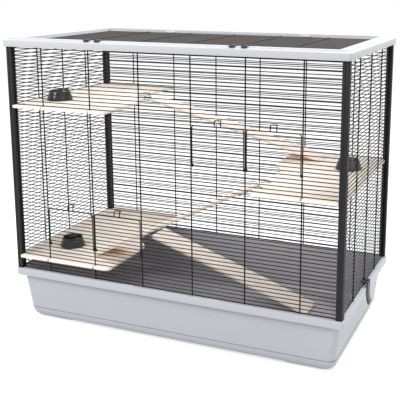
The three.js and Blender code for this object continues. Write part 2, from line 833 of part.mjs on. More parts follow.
// A wire bent down over the shelf edge and back under the board, in the ramp's own plan direction.
function rampHook({ tilt, skew }) {
  const radius = cornerRadius(hookWireDiameter, uprightSides);
  const overZ = radius + clearance;
  const legX = legReach(skew);
  const boardX = boardReach(skew);
  const under = rampThickness + clearance + radius;
  const along = new THREE.Vector3(Math.cos(tilt), 0, -Math.sin(tilt));
  const across = new THREE.Vector3(-Math.sin(tilt), 0, -Math.cos(tilt));
  const seat = new THREE.Vector3(boardX, 0, -rampEndDrop).addScaledVector(across, under);
  const knee = seat.clone().addScaledVector(along, -hookRunIn);
  const end = seat.clone().addScaledVector(along, hookGrip);
  const tip = legX - radius - hookTip;
  const leg = (y) => [
    new THREE.Vector3(tip, y, overZ),
    new THREE.Vector3(legX, y, overZ),
    new THREE.Vector3(legX, y, knee.z),
    new THREE.Vector3(knee.x, y, knee.z),
    new THREE.Vector3(end.x, y, end.z),
  ];
  const half = hookSpacing / 2;
  return bentWire(roundCorners([...leg(-half), ...leg(half).reverse()], hookBend), hookWireDiameter);
}

const ramps = [
  ['upper', upperShelfNeck, upperShelfRow, -1, upperRampStart, upperRampEnd, shelfTopZ(middleShelfRow)],
  ['middle', middleShelfNeck, middleShelfRow, 1, middleRampStart, middleRampEnd, shelfTopZ(lowerShelfRow)],
  ['lower', lowerShelfNeck, lowerShelfRow, -1, lowerRampStart, lowerRampStart, trayFloorZ],
];
ramps.forEach(([name, neck, row, side, startY, endY, landingZ]) => {
  const layout = rampLayout(neck, row, side, startY, endY, landingZ);
  const hanger = new THREE.Group();
  hanger.position.set(layout.edgeX, startY, layout.topZ);
  hanger.rotation.z = side < 0 ? layout.skew : Math.PI - layout.skew;
  const board = piece(`ramp_${name}`, rampBoard(), paleWood);
  board.position.set(boardReach(layout.skew), 0, -rampEndDrop);
  board.rotation.y = layout.tilt;
  hanger.add(board);
  hanger.add(piece(`ramp_hook_${name}`, rampHook(layout), steelWire));
  cage.add(hanger);
});

// ---------------------------------------------------------------- bowls

function bowl() {
  const base = bowlBaseDiameter / 2;
  const rim = bowlRimDiameter / 2;
  const cup = bowlCupDiameter / 2;
  const cupZ = bowlHeight - bowlCupDepth;
  const profile = [
    [0, bowlFootHeight],
    [base - bowlFootWidth, bowlFootHeight],
    [base - bowlFootWidth, 0],
    [base - 1, 0],
    [base, 1.5],
    [rim, bowlHeight - 1.5],
    [rim - 1.5, bowlHeight],
    [cup, bowlHeight - 1],
    [cup - 3, cupZ + 4],
    [cup - 7, cupZ],
    [0, cupZ],
  ].map(([radius, z]) => new THREE.Vector2(radius, z));
  return new THREE.LatheGeometry(profile, 20).rotateX(Math.PI / 2);
}

[
  ['bowl_upper', -411, -132, upperShelfRow],
  ['bowl_middle', 414, 84, middleShelfRow],
  ['bowl_lower', -384, -136, lowerShelfRow],
].forEach(([name, x, y, row]) => {
  const dish = piece(name, bowl(), blackPlastic);
  dish.position.set(x, y, shelfTopZ(row) + clearance);
  cage.add(dish);
});

export default cage;
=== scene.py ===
import json
import math

import bmesh
import bpy
from mathutils import Matrix, Vector


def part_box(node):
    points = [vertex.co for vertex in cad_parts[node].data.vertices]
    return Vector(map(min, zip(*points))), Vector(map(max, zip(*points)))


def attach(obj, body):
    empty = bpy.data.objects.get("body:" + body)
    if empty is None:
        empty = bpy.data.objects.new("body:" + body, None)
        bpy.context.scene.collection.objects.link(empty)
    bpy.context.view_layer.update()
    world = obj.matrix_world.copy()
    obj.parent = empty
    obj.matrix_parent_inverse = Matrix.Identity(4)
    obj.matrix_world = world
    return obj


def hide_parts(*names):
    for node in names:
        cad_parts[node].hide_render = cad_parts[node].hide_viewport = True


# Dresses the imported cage. Each kind of piece has one function, with its dictionary of values just
# before it. Those values are millimetres and degrees, except in the camera, materials and studio.

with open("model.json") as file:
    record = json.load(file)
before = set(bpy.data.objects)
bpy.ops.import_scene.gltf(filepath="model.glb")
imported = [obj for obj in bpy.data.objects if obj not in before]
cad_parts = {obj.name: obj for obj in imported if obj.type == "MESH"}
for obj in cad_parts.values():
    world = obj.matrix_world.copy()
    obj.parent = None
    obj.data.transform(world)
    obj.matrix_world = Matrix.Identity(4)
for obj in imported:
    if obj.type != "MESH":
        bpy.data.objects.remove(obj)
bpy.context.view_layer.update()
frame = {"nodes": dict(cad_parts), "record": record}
scene = bpy.context.scene
mm = 0.001

# which body each CAD node belongs to
bodies = frame["record"]["behaviour"]["bodies"]
bodyOf = {node: body for body, nodes in bodies.items() for node in nodes}


# camera, where the photograph was taken from

cameraSet = {
    "place": (0.9454, -2.0406, 1.0065),
    "yaw": 22.18,
    "pitch": 11.40,
    "roll": 0.126,
    "lens": 70.0,
    "sensor": 36,
    "shiftX": -0.1015,
    "shiftY": -0.1658,
    "clip": (0.05, 50),
}


def makeCamera():
    camera = bpy.data.cameras.new("photoCamera")
    camera.lens = cameraSet["lens"]
    camera.sensor_width = cameraSet["sensor"]
    camera.shift_x = cameraSet["shiftX"]
    camera.shift_y = cameraSet["shiftY"]
    camera.clip_start, camera.clip_end = cameraSet["clip"]
    holder = bpy.data.objects.new("photoCamera", camera)
    scene.collection.objects.link(holder)
    turn = Matrix.Rotation(math.radians(cameraSet["yaw"]), 4, "Z")
    tilt = Matrix.Rotation(math.radians(90 - cameraSet["pitch"]), 4, "X")
    roll = Matrix.Rotation(math.radians(cameraSet["roll"]), 4, "Z")
    holder.matrix_world = Matrix.Translation(cameraSet["place"]) @ turn @ tilt @ roll
    scene.camera = holder


makeCamera()
print("camera set")


# materials

def shade(red, green, blue):
    # sRGB 0 to 255, as read off a screen, to the linear colour that a shader wants
    values = [v / 255 for v in (red, green, blue)]
    return tuple(v / 12.92 if v <= 0.04045 else ((v + 0.055) / 1.055) ** 2.4 for v in values) + (1,)


def newGroup(name, inputs, outputs):
    # inputs and outputs are (name, kind, default) rows
    group = bpy.data.node_groups.new(name, "ShaderNodeTree")
    for label, kind, value in inputs:
        socket = group.interface.new_socket(name=label, in_out="INPUT",
                                            socket_type="NodeSocket" + kind)
        if value is not None:
            socket.default_value = value
    for label, kind in outputs:
        group.interface.new_socket(name=label, in_out="OUTPUT",
                                   socket_type="NodeSocket" + kind)
    return group, group.nodes.new("NodeGroupInput"), group.nodes.new("NodeGroupOutput")


def mathNode(tree, operation, first, second=None, third=None):
    node = tree.nodes.new("ShaderNodeMath")
    node.operation = operation
    for socket, value in zip(node.inputs, (first, second, third)):
        if value is None:
            continue
        if isinstance(value, (int, float)):
            socket.default_value = value
        else:
            tree.links.new(value, socket)
    return node.outputs[0]


def mixColour(tree, factor, first, second):
    # the node has sockets for every data type: 6 and 7 take the colours, and 2 gives theirs out
    node = tree.nodes.new("ShaderNodeMix")
    node.data_type = "RGBA"
    for index, value in ((0, factor), (6, first), (7, second)):
        socket = node.inputs[index]
        if isinstance(value, (int, float, tuple)):
            socket.default_value = value
        else:
            tree.links.new(value, socket)
    return node.outputs[2]


def noiseNode(tree, vector, scale, detail, roughness=0.5):
    node = tree.nodes.new("ShaderNodeTexNoise")
    node.inputs["Detail"].default_value = detail
    node.inputs["Roughness"].default_value = roughness
    if isinstance(scale, (int, float)):
        node.inputs["Scale"].default_value = scale
    else:
        tree.links.new(scale, node.inputs["Scale"])
    tree.links.new(vector, node.inputs["Vector"])
    return node.outputs["Fac"]


def softStep(tree, value, low, high):
    node = tree.nodes.new("ShaderNodeMapRange")
    node.interpolation_type = "SMOOTHSTEP"
    node.inputs["From Min"].default_value = low
    node.inputs["From Max"].default_value = high
    tree.links.new(value, node.inputs["Value"])
    return node.outputs["Result"]


skinSet = {"fineScale": 45.0, "detail": 2.0, "bumpDistance": 0.0004}


def makeSkinGroup():
    # slow colour drift, fine roughness changes and faint bumps, as on moulded or coated parts; the
    # noises lie round 0.5, so each swings as far down as up
    group, given, result = newGroup(
        "mouldedSkin",
        [("Colour", "Color", (0.5, 0.5, 0.5, 1)), ("Drift", "Float", 0.04), ("Scale", "Float", 6.0),
         ("Roughness", "Float", 0.45), ("Sheen Spread", "Float", 0.12)],
        [("Colour", "Color"), ("Roughness", "Float"), ("Height", "Float")],
    )
    place = group.nodes.new("ShaderNodeTexCoord").outputs["Object"]
    slow = noiseNode(group, place, given.outputs["Scale"], skinSet["detail"])
    fineScale = mathNode(group, "MULTIPLY", given.outputs["Scale"], skinSet["fineScale"])
    fine = noiseNode(group, place, fineScale, skinSet["detail"])
    swing = mathNode(group, "MULTIPLY", mathNode(group, "SUBTRACT", slow, 0.5),
                     given.outputs["Drift"])
    gain = mathNode(group, "ADD", mathNode(group, "MULTIPLY", swing, 2.0), 1.0)
    scaled = group.nodes.new("ShaderNodeVectorMath")
    scaled.operation = "SCALE"
    group.links.new(given.outputs["Colour"], scaled.inputs[0])
    group.links.new(gain, scaled.inputs["Scale"])
    spread = mathNode(group, "MULTIPLY", mathNode(group, "SUBTRACT", fine, 0.5),
                      given.outputs["Sheen Spread"])
    group.links.new(scaled.outputs[0], result.inputs["Colour"])
    group.links.new(mathNode(group, "ADD", given.outputs["Roughness"], spread),
                    result.inputs["Roughness"])
    group.links.new(fine, result.inputs["Height"])
    return group


edgeSet = {"samples": 4, "turn": (0.01, 0.16)}


def makeEdgeGroup():
    # a mask that is 1 on rounded edges
    group, given, result = newGroup("roundedEdgeMask", [("Width", "Float", 0.0008)],
                                    [("Mask", "Float")])
    bevel = group.nodes.new("ShaderNodeBevel")
    bevel.samples = edgeSet["samples"]
    group.links.new(given.outputs["Width"], bevel.inputs["Radius"])
    plain = group.nodes.new("ShaderNodeNewGeometry")
    dot = group.nodes.new("ShaderNodeVectorMath")
    dot.operation = "DOT_PRODUCT"
    group.links.new(bevel.outputs[0], dot.inputs[0])
    group.links.new(plain.outputs["Normal"], dot.inputs[1])
    turned = mathNode(group, "SUBTRACT", 1.0, dot.outputs["Value"])
    group.links.new(softStep(group, turned, *edgeSet["turn"]), result.inputs["Mask"])
    return group


# noises are (scale, detail) rows, reaches the noise values between which each one comes in
grainSet = {
    "stretch": (3.0, 42.0, 42.0),
    "fibres": (3.0, 6.0), "fibreRoughness": 0.65, "fibreReach": (0.35, 0.75), "fibreAmount": 0.22,
    "bands": (0.55, 2.0), "bandReach": (0.45, 0.8), "bandAmount": 0.25,
    "ticks": (6.0, 2.0), "tickReach": (0.68, 0.78), "tickAmount": 0.18,
    "tickColour": (206, 168, 128),
    "roughness": 0.62, "roughnessSwing": 0.16, "bump": 0.25, "bumpDistance": 0.0005,
}


def makeGrainGroup():
    # pale planed softwood: fine fibres, slow bands and a few darker ticks along the vector's x
    spec = grainSet
    group, given, result = newGroup(
        "boardGrain",
        [("Vector", "Vector", None), ("Pale", "Color", (0.9, 0.85, 0.75, 1)),
         ("Warm", "Color", (0.8, 0.6, 0.4, 1))],
        [("Colour", "Color"), ("Roughness", "Float"), ("Height", "Float")],
    )
    stretch = group.nodes.new("ShaderNodeMapping")
    stretch.inputs["Scale"].default_value = spec["stretch"]
    group.links.new(given.outputs["Vector"], stretch.inputs["Vector"])
    fibres = noiseNode(group, stretch.outputs[0], *spec["fibres"], spec["fibreRoughness"])
    bands = noiseNode(group, stretch.outputs[0], *spec["bands"])
    flecks = noiseNode(group, stretch.outputs[0], *spec["ticks"])
    ticks = softStep(group, flecks, *spec["tickReach"])
    fibreTone = mathNode(group, "MULTIPLY", softStep(group, fibres, *spec["fibreReach"]),
                         spec["fibreAmount"])
    bandTone = mathNode(group, "MULTIPLY", softStep(group, bands, *spec["bandReach"]),
                        spec["bandAmount"])
    tone = mathNode(group, "ADD", fibreTone, bandTone)
    base = mixColour(group, tone, given.outputs["Pale"], given.outputs["Warm"])
    ticked = mixColour(group, mathNode(group, "MULTIPLY", ticks, spec["tickAmount"]), base,
                       shade(*spec["tickColour"]))
    group.links.new(ticked, result.inputs["Colour"])
    swing = mathNode(group, "MULTIPLY", fibres, spec["roughnessSwing"])
    group.links.new(mathNode(group, "ADD", spec["roughness"], swing), result.inputs["Roughness"])
    group.links.new(fibres, result.inputs["Height"])
    return group


skinGroup = makeSkinGroup()
edgeGroup = makeEdgeGroup()
grainGroup = makeGrainGroup()


def startMaterial(name):
    material = bpy.data.materials.new(name)
    material.use_nodes = True
    return material, material.node_tree, material.node_tree.nodes["Principled BSDF"]


def placeGroup(tree, group, values):
    node = tree.nodes.new("ShaderNodeGroup")
    node.node_tree = group
    for label, value in values.items():
        if isinstance(value, bpy.types.NodeSocket):
            tree.links.new(value, node.inputs[label])
        else:
            node.inputs[label].default_value = value
    return node


def addBump(tree, shader, height, strength, distance):
    bump = tree.nodes.new("ShaderNodeBump")
    bump.inputs["Strength"].default_value = strength
    bump.inputs["Distance"].default_value = distance
    tree.links.new(height, bump.inputs["Height"])
    tree.links.new(bump.outputs[0], shader.inputs["Normal"])


def coatedMaterial(name, look):
    # moulded plastic or coated wire: the skin group, with rounded edges painted a paler or darker
    # colour; all the finishes paint them paler, as a painted highlight
    material, tree, shader = startMaterial(name)
    skin = placeGroup(tree, skinGroup, {
        "Colour": shade(*look["colour"]), "Drift": look["drift"], "Scale": look["scale"],
        "Roughness": look["roughness"], "Sheen Spread": look["spread"],
    })
    colour = skin.outputs["Colour"]
    # rounded edges are mixed toward a paler colour: a painted highlight
    if look.get("rub"):
        edge = placeGroup(tree, edgeGroup, {"Width": look["edgeHighlightWidth"]})
        amount = mathNode(tree, "MULTIPLY", edge.outputs["Mask"], look["rub"])
        colour = mixColour(tree, amount, colour, shade(*look["edgeHighlightColour"]))
    tree.links.new(colour, shader.inputs["Base Color"])
    tree.links.new(skin.outputs["Roughness"], shader.inputs["Roughness"])
    shader.inputs["Metallic"].default_value = look.get("metallic", 0.0)
    shader.inputs["Specular IOR Level"].default_value = look.get("specular", 0.5)
    addBump(tree, shader, skin.outputs["Height"], look["bump"], skinSet["bumpDistance"])
    return material


# drift is how far the colour wanders, spread how far the roughness does, and the edge amount how
# strongly the paler, painted highlight on rounded edges shows
finishSet = {
    "trayGrey": {"colour": (189, 192, 199), "drift": 0.015, "scale": 3.0, "roughness": 0.42,
                 "spread": 0.08, "bump": 0.12,
                 "rub": 0.35, "edgeHighlightWidth": 0.0012, "edgeHighlightColour": (222, 225, 232)},
    # trayInsideShaded is the tray's own grey painted a little darker, as painted shade for the
    # shadowed inside of the tray
    "trayInsideShaded": {"colour": (186, 184, 190), "drift": 0.04, "scale": 4.0, "roughness": 0.3,
                   "spread": 0.1, "bump": 0.1, "specular": 0.6},
    # trayCreaseShade is painted shade: the crease groove's faces get a darker grey that stands in
    # for the shade in the groove
    "trayCreaseShade": {"colour": (166, 169, 178), "drift": 0.01, "scale": 3.0, "roughness": 0.6,
                   "spread": 0.05, "bump": 0.0},
    "framePale": {"colour": (196, 198, 202), "drift": 0.012, "scale": 3.0, "roughness": 0.4,
                  "spread": 0.08, "bump": 0.1,
                  "rub": 0.3, "edgeHighlightWidth": 0.001, "edgeHighlightColour": (240, 243, 247)},
    "postCharcoal": {"colour": (24, 23, 27), "drift": 0.05, "scale": 5.0, "roughness": 0.5,
                     "spread": 0.12, "bump": 0.12, "specular": 0.3,
                     "rub": 0.25, "edgeHighlightWidth": 0.0008, "edgeHighlightColour": (70, 69, 75)},
    "wireBlack": {"colour": (9, 9, 10), "drift": 0.08, "scale": 20.0, "roughness": 0.45,
                  "spread": 0.15, "bump": 0.2, "specular": 0.2},
    # roofBlackLit is the wire black painted paler, as painted light for the sheen on the roof's
    # grazing top
    "roofBlackLit": {"colour": (46, 39, 37), "drift": 0.1, "scale": 20.0, "roughness": 0.42,
                  "spread": 0.15, "bump": 0.2, "specular": 0.4},
    "clipBlack": {"colour": (30, 29, 32), "drift": 0.05, "scale": 12.0, "roughness": 0.42,
                  "spread": 0.12, "bump": 0.15,
                  "rub": 0.3, "edgeHighlightWidth": 0.0006, "edgeHighlightColour": (84, 83, 88)},
    "bowlBlack": {"colour": (22, 20, 22), "drift": 0.04, "scale": 10.0, "roughness": 0.14,
                  "spread": 0.08, "bump": 0.1, "specular": 0.7,
                  "rub": 0.4, "edgeHighlightWidth": 0.001, "edgeHighlightColour": (104, 100, 104)},
    "hookSteel": {"colour": (176, 178, 182), "drift": 0.06, "scale": 30.0, "roughness": 0.32,
                  "spread": 0.15, "bump": 0.2, "metallic": 0.9},
}
finishes = {name: coatedMaterial(name, look) for name, look in finishSet.items()}

# patch is a stretch of warmer figure, which two of the shelves have
boardLook = {
    "pale": (254, 244, 234),
    "warm": (248, 220, 196),
    "patch": (222, 150, 92),
    "patchFade": (0.15, 1.0),
    "patchFigure": (0.38, 0.62),
    "patchLeast": 0.25,
    "patchSwing": 0.6,
    "edgeWidth": 0.0012,
    "edgeAmount": 0.25,
    "edgeColour": (214, 178, 134),
}


def warmPatch(tree, place, height, centre, half):
    # how strongly a patch of warmer figure shows at each point of a board
    spread = tree.nodes.new("ShaderNodeMapping")
    spread.inputs["Scale"].default_value = [1 / h for h in half]
    spread.inputs["Location"].default_value = [-c / h for c, h in zip(centre, half)]
    tree.links.new(place, spread.inputs["Vector"])
    reach = tree.nodes.new("ShaderNodeVectorMath")
    reach.operation = "LENGTH"
    tree.links.new(spread.outputs[0], reach.inputs[0])
    fade = softStep(tree, reach.outputs["Value"], *boardLook["patchFade"])
    figure = softStep(tree, height, *boardLook["patchFigure"])
    swing = mathNode(tree, "MULTIPLY", figure, boardLook["patchSwing"])
    amount = mathNode(tree, "ADD", boardLook["patchLeast"], swing)
    return mathNode(tree, "MULTIPLY", mathNode(tree, "SUBTRACT", 1.0, fade), amount)


def boardMaterial(name, look):
    material, tree, shader = startMaterial(name)
    place = tree.nodes.new("ShaderNodeTexCoord").outputs["Object"]
    along = tree.nodes.new("ShaderNodeMapping")
    turns = (0, look["turnY"], look["turnZ"])
    along.inputs["Rotation"].default_value = [math.radians(turn) for turn in turns]
    along.inputs["Location"].default_value = look["offset"]
    tree.links.new(place, along.inputs["Vector"])
    grain = placeGroup(tree, grainGroup, {
        "Vector": along.outputs[0],
        "Pale": shade(*boardLook["pale"]),
        "Warm": shade(*boardLook["warm"]),
    })
    colour = grain.outputs["Colour"]
    if "patch" in look:
        amount = warmPatch(tree, place, grain.outputs["Height"], *look["patch"])
        colour = mixColour(tree, amount, colour, shade(*boardLook["patch"]))
    edge = placeGroup(tree, edgeGroup, {"Width": boardLook["edgeWidth"]})
    amount = mathNode(tree, "MULTIPLY", edge.outputs["Mask"], boardLook["edgeAmount"])
    colour = mixColour(tree, amount, colour, shade(*boardLook["edgeColour"]))
    tree.links.new(colour, shader.inputs["Base Color"])
    tree.links.new(grain.outputs["Roughness"], shader.inputs["Roughness"])
    addBump(tree, shader, grain.outputs["Height"], grainSet["bump"], grainSet["bumpDistance"])
    return material


print("materials made")


# helpers that every piece uses

def camelName(start, words):
    return start + "".join(word.capitalize() for word in words.split("_"))


def newPiece(name, bm, materials, node, sharpAngle=38):
    mesh = bpy.data.meshes.new(name)
    bm.to_mesh(mesh)
    bm.free()
    mesh.shade_smooth()
    mesh.set_sharp_from_angle(angle=math.radians(sharpAngle))
    for material in materials:
        mesh.materials.append(material)
    piece = bpy.data.objects.new(name, mesh)
    scene.collection.objects.link(piece)
    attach(piece, bodyOf[node])
    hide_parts(node)


def cadCopy(node, flatAngle=1.0, weldReach=1e-5):
    # a merged copy of the node's solid, with the triangles of each flat face joined up again
    bm = bmesh.new()
    bm.from_mesh(frame["nodes"][node].data)
    bmesh.ops.remove_doubles(bm, verts=bm.verts, dist=weldReach)
    bmesh.ops.dissolve_limit(bm, angle_limit=math.radians(flatAngle), verts=bm.verts,
                             edges=bm.edges)
    return bm


def roundEdges(bm, edges, width):
    bmesh.ops.bevel(bm, geom=edges, offset=width, offset_type="OFFSET", segments=2, profile=0.5,
                    affect="EDGES", clamp_overlap=True, material=-1)


def softenEdges(bm, width, least=40):
    # rounds the edges of a solid's copy that turn by more than `least` degrees
    edges = [edge for edge in bm.edges
             if len(edge.link_faces) == 2 and edge.calc_face_angle(0) > math.radians(least)]
    roundEdges(bm, edges, width * mm)


def straightWire(bm, start, end, radius, sides=8):
    start, end = Vector(start), Vector(end)
    turn = (end - start).to_track_quat("Z", "Y").to_matrix().to_4x4()
    place = Matrix.Translation((start + end) / 2) @ turn
    bmesh.ops.create_cone(bm, cap_ends=True, cap_tris=False, segments=sides, radius1=radius,
                          radius2=radius, depth=(end - start).length, matrix=place)


def edgesOf(verts):
    return list({edge for vert in verts for edge in vert.link_edges})


def bentWire(bm, points, radius, sides=8):
    # circles stood square to the path at each point, and bridged one to the next
    points = [Vector(p) for p in points]
    last = len(points) - 1
    turn = heading = before = None
    for i, point in enumerate(points):
        ahead = (points[min(i + 1, last)] - points[max(i - 1, 0)]).normalized()
        if turn is None:
            turn = ahead.to_track_quat("Z", "Y")
        else:
            turn = heading.rotation_difference(ahead) @ turn
        heading = ahead
        place = Matrix.Translation(point) @ turn.to_matrix().to_4x4()
        made = bmesh.ops.create_circle(bm, cap_ends=i in (0, last), segments=sides, radius=radius,
                                       matrix=place)
        edges = edgesOf(made["verts"])
        if before:
            bmesh.ops.bridge_loops(bm, edges=before + edges)
        before = edges


def roundPath(corners, radius, steps=4):
    # each inner corner of the path becomes an arc
    corners = [Vector(c) for c in corners]
    path = [corners[0]]
    for before, corner, after in zip(corners, corners[1:], corners[2:]):
        back = (before - corner).normalized()
        ahead = (after - corner).normalized()
        half = back.angle(ahead) / 2
        start = corner + back * (radius / math.tan(half))
        centre = corner + (back + ahead).normalized() * (radius / math.sin(half))
        axis = back.cross(ahead).normalized()
        sweep = math.pi - 2 * half
        for step in range(steps + 1):
            path.append(centre + Matrix.Rotation(-sweep * step / steps, 3, axis) @ (start - centre))
    path.append(corners[-1])
    return path


def roundedRing(bm, halfX, halfY, radius, z, quarter=7):
    # a circle whose quarters are moved out to the corners of a rectangle
    segments = 4 * quarter
    place = Matrix.Translation((0, 0, z)) @ Matrix.Rotation(math.pi / segments, 4, "Z")
    made = bmesh.ops.create_circle(bm, cap_ends=False, segments=segments, radius=radius,
                                   matrix=place)
    for vert in made["verts"]:
        vert.co.x += math.copysign(halfX - radius, vert.co.x)
        vert.co.y += math.copysign(halfY - radius, vert.co.y)
    return edgesOf(made["verts"])


def loft(bm, sections, materialIndex=0, before=None):
    # sections are (halfX, halfY, radius, z); the rings are bridged in turn
    first = before
    for section in sections:
        ring = roundedRing(bm, *section)
        if before:
            for face in bmesh.ops.bridge_loops(bm, edges=before + ring)["faces"]:
                face.material_index = materialIndex
        first = first or ring
        before = ring
    return first, before


def rimmedBlock(bm, centre, size, width):
    # a small block with its edges rounded, as moulded lugs and bumps have
    place = Matrix.Translation(centre) @ Matrix.Diagonal((*size, 1))
    made = bmesh.ops.create_cube(bm, size=1, matrix=place)
    roundEdges(bm, edgesOf(made["verts"]), width)


# tray

traySet = {
    "finishes": ("trayGrey", "trayInsideShaded", "trayCreaseShade"), "inside": 1, "groove": 2,
    "halfX": 500, "halfY": 264, "height": 158, "wall": 3,
    "rimDrop": 21, "rimOver": 13, "rimRadius": 12, "rimRound": 2.2,
    "lip": 0.6, "lipRound": 0.8, "mouthRound": 1, "topSteps": 4,
    "wallRadius": 18, "taperX": 13, "taperY": 7.8,
    "crease": 33, "creaseDepth": 2.2, "creaseHalf": 1.5, "creaseFloor": (-0.6, 1.2),
    "creaseSlack": 0.1,
    "baseRadius": 26, "baseRound": 25, "baseSteps": 8,
    "lift": 9, "liftFlat": 321, "liftEnd": 338,
    "bumpX": (-120, 140), "bumpY": 258.5, "bumpSize": (36, 4.0, 3.2), "bumpSunk": 0.8,
    "bumpRound": 1.0,
    "sharpAngle": 30,
}


def baseSections(inset):
    # rings from the floor's edge up to the crease, the inside ones a wall's thickness further in
    spec = traySet
    creaseX = spec["halfX"] - spec["rimOver"] - spec["taperX"] - inset
    creaseY = spec["halfY"] - spec["rimOver"] - spec["taperY"] - inset
    radius = spec["baseRadius"] - inset
    rows = []
    for step in range(spec["baseSteps"] + 1):
        angle = step / spec["baseSteps"] * math.pi / 2
        inward = spec["baseRound"] * (1 - math.sin(angle))
        z = inset + (spec["crease"] - inset) * (1 - math.cos(angle))
        rows.append((creaseX - inward, creaseY - inward, radius, z))
    return rows


def rimSections():
    # rings up the wall, out and down inside the rolled rim, round its lip and over to the mouth
    spec = traySet
    top, wall, over = spec["height"], spec["wall"], spec["rimOver"]
    x, y = spec["halfX"], spec["halfY"]
    lip, lipRound, mouth = spec["lip"], spec["lipRound"], spec["mouthRound"]
    low = top - spec["rimDrop"]
    rows = [
        (x - over, y - over, spec["wallRadius"], top - wall - mouth),
        (x - over + mouth, y - over + mouth, spec["wallRadius"], top - wall),
        (x - wall, y - wall, spec["rimRadius"], top - wall),
        (x - wall, y - wall, spec["rimRadius"], low + lip),
        (x - wall + lip, y - wall + lip, spec["rimRadius"], low),
        (x - lipRound, y - lipRound, spec["rimRadius"], low),
        (x, y, spec["rimRadius"], low + lipRound),
    ]
    for step in range(spec["topSteps"] + 1):
        angle = step / spec["topSteps"] * math.pi / 2
        inward = spec["rimRound"] * (1 - math.cos(angle))
        z = top - spec["rimRound"] * (1 - math.sin(angle))
        rows.append((x - inward, y - inward, spec["rimRadius"] - inward / 2, z))
    mouthX, mouthY, radius = x - over - wall, y - over - wall, spec["wallRadius"] - wall
    rows.append((mouthX + mouth, mouthY + mouth, radius, top))
    rows.append((mouthX, mouthY, radius, top - mouth))
    return rows


def liftFloor(x):
    # the floor's underside is raised between the two feet
    spec = traySet
    away = (spec["liftEnd"] - abs(x)) / (spec["liftEnd"] - spec["liftFlat"])
    return spec["lift"] * min(max(away, 0), 1)


def makeTray():
    spec = traySet
    bm = bmesh.new()
    outer = baseSections(0)
    deep, half = spec["creaseDepth"], spec["creaseHalf"]
    halfX, halfY, radius, z = outer.pop()
    outer.append((halfX, halfY, radius, z - half))
    outer += [(halfX - deep, halfY - deep, radius, z + rise) for rise in spec["creaseFloor"]]
    outer.append((halfX, halfY, radius, z + half))
    inner = baseSections(spec["wall"])[::-1]
    bottom, edge = loft(bm, outer + rimSections())
    # the inside faces take the darker, shade-painted grey
    _, floor = loft(bm, inner, spec["inside"], edge)
    bmesh.ops.contextual_create(bm, geom=bottom)
    for face in bmesh.ops.contextual_create(bm, geom=floor)["faces"]:
        face.material_index = spec["inside"]
    # the faces of the crease groove take the darker grey, which is painted shade for the groove
    for face in bm.faces:
        reach = max(abs(vert.co.z - spec["crease"]) for vert in face.verts)
        if not face.material_index and reach < half + spec["creaseSlack"]:
            face.material_index = spec["groove"]
    bmesh.ops.recalc_face_normals(bm, faces=bm.faces)
    # the base is cut where its raised middle begins and ends, and then lifted
    for x in [sign * spec[key] for key in ("liftFlat", "liftEnd") for sign in (-1, 1)]:
        bmesh.ops.bisect_plane(bm, geom=bm.verts[:] + bm.edges[:] + bm.faces[:], dist=1e-4,
                               plane_co=(x, 0, 0), plane_no=(1, 0, 0))
    for vert in bm.verts:
        isInside = all(face.material_index == spec["inside"] for face in vert.link_faces)
        floorZ = liftFloor(vert.co.x) + (spec["wall"] if isInside else 0)
        vert.co.z = max(vert.co.z, floorZ)
    for x in spec["bumpX"]:
        for side in (-1, 1):
            z = spec["height"] + spec["bumpSize"][2] / 2 - spec["bumpSunk"]
            rimmedBlock(bm, (x, side * spec["bumpY"], z), spec["bumpSize"], spec["bumpRound"])
    bmesh.ops.scale(bm, vec=(mm, mm, mm), verts=bm.verts)
    materials = [finishes[key] for key in spec["finishes"]]
    newPiece("trayShell", bm, materials, "base_tray", spec["sharpAngle"])


makeTray()
print("tray made")


# corner posts

postSet = {"softEdge": 0.45, "nodes": ("front_left", "front_right", "back_left", "back_right")}


def makePosts():
    for corner in postSet["nodes"]:
        node = "corner_post_" + corner
        bm = cadCopy(node)
        softenEdges(bm, postSet["softEdge"])
        newPiece(camelName("post", corner), bm, [finishes["postCharcoal"]], node)


makePosts()
print("posts made")


# wire panels

# bar, upright, edge and wire are radii; bars and uprights are 0.3 mm more than the solids', since
# the wirework looks too pale from the camera otherwise, and uprights stand `weld` out from bars
wireSet = {
    "bar": 1.3, "upright": 1.8, "edge": 1.6, "weld": 2.4, "overrun": 1, "thickSides": 10,
    "firstRow": 159.8, "pitch": 10.65, "rows": 61,
    "longHalf": 480.5, "shortHalf": 244.5, "longAt": 251.0, "shortAt": 487.0,
    "longUprights": [(i - 2.5) * 152.8 for i in range(6)],
    "shortUprights": [-127.0, 0.0, 127.0],
}
# the doors' values, here because the front panel's bars stop beside the door gaps; each leaf is
# (centre along x, row of the bar that it hangs on)
doorSet = {
    "rows": 10, "side": 72.7, "wire": 1.5, "bar": 1.3, "offset": 3.3, "cornerRadius": 6.0,
    "eyeTurn": 260, "eyeSteps": 12, "sides": 10,
    "catchWidth": 17.0, "catchReach": 9.0, "catchRise": 1.5, "catchBend": 3.5,
    "leaves": {"door_lower_left": (-305.6, 8), "door_lower_right": (-152.8, 8),
               "door_upper_left": (152.8, 34), "door_upper_right": (305.6, 34)},
}


def rowHeight(row):
    return wireSet["firstRow"] + row * wireSet["pitch"]


def barStretches(row, half, leaves):
    # the doors in a row of bars leave one gap between them, which the bars stop beside
    reach = wireSet["longUprights"][1] - wireSet["longUprights"][0]
    gaps = [x for x, hinge in leaves if hinge < row < hinge + doorSet["rows"]]
    if not gaps:
        return [(-half, half)]
    return [(-half, min(gaps) - reach / 2), (max(gaps) + reach / 2, half)]


